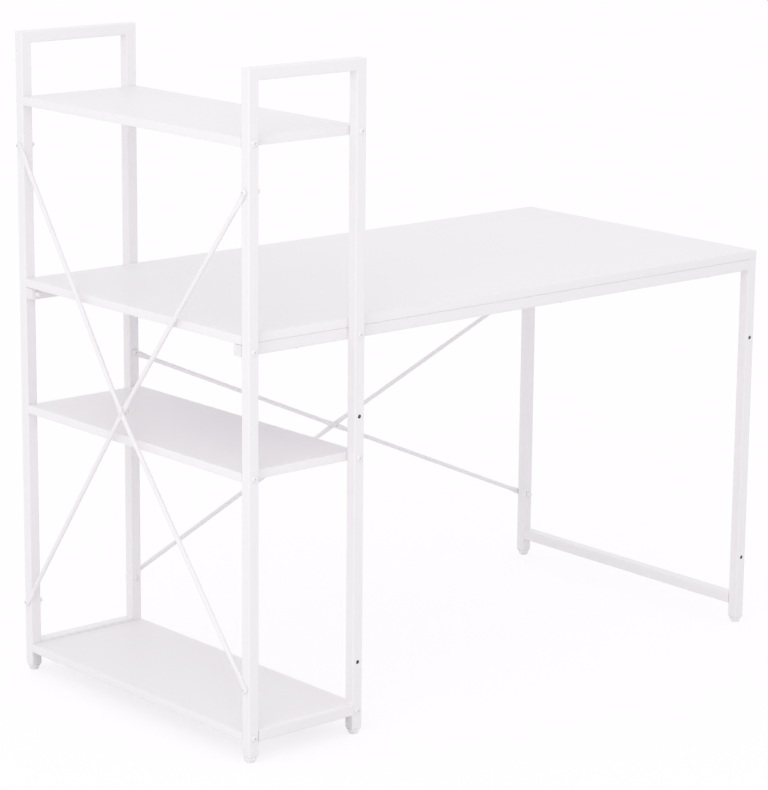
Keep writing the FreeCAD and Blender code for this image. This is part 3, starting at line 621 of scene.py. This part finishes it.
def weld_bead(start, stop, first_face, second_face, seed):
    """A small rippled fillet along an inside corner, from start to stop, painted over with the frame."""
    rng = random.Random(seed)
    start, stop = Vector(start), Vector(stop)
    first_face, second_face = Vector(first_face), Vector(second_face)
    length = (stop - start).length
    along = (stop - start).normalized()
    count = max(WELD_LEAST_STEPS, int(length / (WELD_RIPPLE_LENGTH / WELD_STEPS_PER_RIPPLE)))
    phase = rng.uniform(0, math.tau)
    shape = bmesh.new()
    rings = []
    for step in range(count + 1):
        travel = length * step / count
        from_end = min(travel, length - travel)
        swell = min(1.0, WELD_END_SHARE + from_end / (WELD_LEG * WELD_END_LEGS))
        ripple = WELD_RIPPLE / 2 * math.sin(travel / WELD_RIPPLE_LENGTH * math.tau + phase)
        size = (WELD_LEG + ripple + rng.uniform(-WELD_UNEVENNESS, WELD_UNEVENNESS)) * swell
        ring = [shape.verts.new(start + along * travel - (first_face + second_face) * WELD_ROOT)]
        for index in range(WELD_SIDES + 1):
            angle = math.pi / 2 * index / WELD_SIDES
            # a shallow hollow between the two legs
            bulge = WELD_BULGE_SHARE * size * math.sin(2 * angle)
            first_reach = size * (1 - math.sin(angle)) ** WELD_HOLLOW + bulge
            second_reach = size * (1 - math.cos(angle)) ** WELD_HOLLOW + bulge
            ring.append(shape.verts.new(start + along * travel + first_face * first_reach
                                        + second_face * second_reach))
        rings.append(ring)
    join_rings(shape, rings)
    return shape


def tower_frame_welds(side):
    """The fillets between two tower posts and the rails over and between them."""
    top_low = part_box("tower_" + side + "_top_rail")[0]
    low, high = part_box("tower_" + side + "_bottom_rail")
    y_low, y_high = low.y + TUBE_CORNER, high.y - TUBE_CORNER
    beads = []
    for x, inward in ((low.x, 1), (high.x, -1)):
        for z, away in ((top_low.z, -1), (high.z, 1), (low.z, -1)):
            beads.append(weld_bead((x, y_low, z), (x, y_high, z), (inward, 0, 0), (0, 0, away),
                                   TOWER_WELD_SEED + len(beads)))
    name = "tower_" + side + "_frame_welds"
    new_piece(name, mesh_from(name, joined(beads)), "frame_paint", BODY_OF["tower_" + side + "_top_rail"])


def end_frame_welds():
    """The fillets between the end frame's posts and its two rails."""
    top_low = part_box("end_frame_top_rail")[0]
    low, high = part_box("end_frame_bottom_rail")
    x_low, x_high = low.x + TUBE_CORNER, high.x - TUBE_CORNER
    beads = []
    for y, inward in ((low.y, 1), (high.y, -1)):
        for z, away in ((top_low.z, -1), (high.z, 1), (low.z, -1)):
            beads.append(weld_bead((x_low, y, z), (x_high, y, z), (0, inward, 0), (0, 0, away),
                                   END_WELD_SEED + len(beads)))
    new_piece("end_frame_welds", mesh_from("end_frame_welds", joined(beads)), "frame_paint",
              BODY_OF["end_frame_top_rail"])


# Studio
def light_path_share(nodes):
    """1 for the rays that look at the studio: straight from the camera, or by way of gloss or glass."""
    path = nodes.add("ShaderNodeLightPath").outputs
    seen = nodes.math("MAXIMUM", path["Is Camera Ray"], path["Is Glossy Ray"])
    return nodes.math("MAXIMUM", seen, path["Is Transmission Ray"])


def build_floor():
    """A wide pale floor that is almost white to the eye, keeps the desk's shadow and is open from below."""
    half = FLOOR_SIDE / 2
    shape = bmesh.new()
    corners = ((-half, -half), (half, -half), (half, half), (-half, half))
    shape.faces.new([shape.verts.new((x, y, 0)) for x, y in corners])
    mesh = bpy.data.meshes.new("studio_floor")
    shape.to_mesh(mesh)
    shape.free()
    floor = bpy.data.objects.new("studio_floor", mesh)
    bpy.context.scene.collection.objects.link(floor)

    material = bpy.data.materials.new("studio_floor")
    material.use_nodes = True
    material.node_tree.nodes.clear()
    nodes = Nodes(material.node_tree)
    matt = nodes.add("ShaderNodeBsdfDiffuse")
    matt.inputs["Color"].default_value = FLOOR_COLOR
    glow = nodes.add("ShaderNodeEmission")
    glow.inputs["Color"].default_value = BACKDROP_WHITE
    glow.inputs["Strength"].default_value = FLOOR_GLOW
    seen = nodes.math("MULTIPLY", light_path_share(nodes), 1 - FLOOR_SHADOW_SHARE)
    pale = nodes.add("ShaderNodeMixShader")
    nodes.join(seen, pale.inputs[0])
    nodes.join(matt.outputs[0], pale.inputs[1])
    nodes.join(glow.outputs[0], pale.inputs[2])
    one_sided = nodes.add("ShaderNodeMixShader")
    nodes.join(nodes.add("ShaderNodeNewGeometry").outputs["Backfacing"], one_sided.inputs[0])
    nodes.join(pale.outputs[0], one_sided.inputs[1])
    nodes.join(nodes.add("ShaderNodeBsdfTransparent").outputs[0], one_sided.inputs[2])
    nodes.join(one_sided.outputs[0], nodes.add("ShaderNodeOutputMaterial").inputs["Surface"])
    mesh.materials.append(material)


def build_sky():
    """Even studio light that is a little stronger from above, and white where the camera sees it."""
    world = bpy.data.worlds.new("studio_light")
    bpy.context.scene.world = world
    world.use_nodes = True
    world.node_tree.nodes.clear()
    nodes = Nodes(world.node_tree)
    place = nodes.add("ShaderNodeTexCoord").outputs["Generated"]
    split = nodes.add("ShaderNodeSeparateXYZ")
    nodes.join(place, split.inputs[0])
    height = nodes.add("ShaderNodeMapRange")
    nodes.join(split.outputs["Z"], height.inputs["Value"])
    height.inputs["To Min"].default_value = SKY_SIDE
    height.inputs["To Max"].default_value = SKY_TOP
    to_left = nodes.math("MAXIMUM", nodes.math("MULTIPLY", split.outputs["X"], -SKY_LEFT_GAIN), 0.0)
    soft = nodes.add("ShaderNodeBackground")
    soft.inputs["Color"].default_value = (1, 1, 1, 1)
    nodes.join(nodes.math("ADD", height.outputs["Result"], to_left), soft.inputs["Strength"])
    white = nodes.add("ShaderNodeBackground")
    white.inputs["Color"].default_value = BACKDROP_WHITE
    white.inputs["Strength"].default_value = 1.0
    mix = nodes.add("ShaderNodeMixShader")
    nodes.join(light_path_share(nodes), mix.inputs[0])
    nodes.join(soft.outputs[0], mix.inputs[1])
    nodes.join(white.outputs[0], mix.inputs[2])
    nodes.join(mix.outputs[0], nodes.add("ShaderNodeOutputWorld").inputs["Surface"])


def soft_box(name, place, side, watts):
    """A square studio lamp that faces the desk and isn't seen itself."""
    lamp = bpy.data.lights.new(name, "AREA")
    lamp.shape = "SQUARE"
    lamp.size = side
    lamp.energy = watts
    holder = bpy.data.objects.new(name, lamp)
    bpy.context.scene.collection.objects.link(holder)
    holder.location = place
    holder.rotation_mode = "QUATERNION"
    holder.rotation_quaternion = (Vector(STUDIO_AIM) - Vector(place)).to_track_quat("-Z", "Y")
    holder.visible_camera = False


def build_camera():
    """The camera that sees the desk as the photograph does."""
    ahead = Vector((math.sin(CAMERA_HEADING) * math.cos(CAMERA_TILT),
                    math.cos(CAMERA_HEADING) * math.cos(CAMERA_TILT), -math.sin(CAMERA_TILT)))
    level_right = Vector((math.cos(CAMERA_HEADING), -math.sin(CAMERA_HEADING), 0))
    level_up = level_right.cross(ahead)
    right = level_right * math.cos(CAMERA_ROLL) + level_up * math.sin(CAMERA_ROLL)
    above = level_up * math.cos(CAMERA_ROLL) - level_right * math.sin(CAMERA_ROLL)
    lens = bpy.data.cameras.new("photo_camera")
    lens.sensor_width = CAMERA_SENSOR_MM
    lens.lens = CAMERA_LENS_MM
    camera = bpy.data.objects.new("photo_camera", lens)
    bpy.context.scene.collection.objects.link(camera)
    turn = Matrix((right, above, -ahead)).transposed().to_4x4()
    camera.matrix_world = Matrix.Translation(CAMERA_PLACE) @ turn
    bpy.context.scene.camera = camera


bpy.context.scene.view_settings.view_transform = "Standard"
build_camera()
build_sky()
build_floor()
soft_box("key_lamp", KEY_PLACE, KEY_SIDE, KEY_WATTS)
dress_construction_nodes()
for board in ("tabletop", "top_shelf", "middle_shelf", "bottom_shelf"):
    dress_board_edges(board)
for corner in ("tower_front_outer", "tower_front_inner", "tower_back_outer", "tower_back_inner", "end_front",
               "end_back"):
    threaded_stud(corner + "_threaded_stud", "foot_stud_" + corner)
    fluted_pad(corner + "_fluted_pad", "foot_pad_" + corner)
moulded_end_caps()
tower_frame_welds("front")
tower_frame_welds("back")
end_frame_welds()
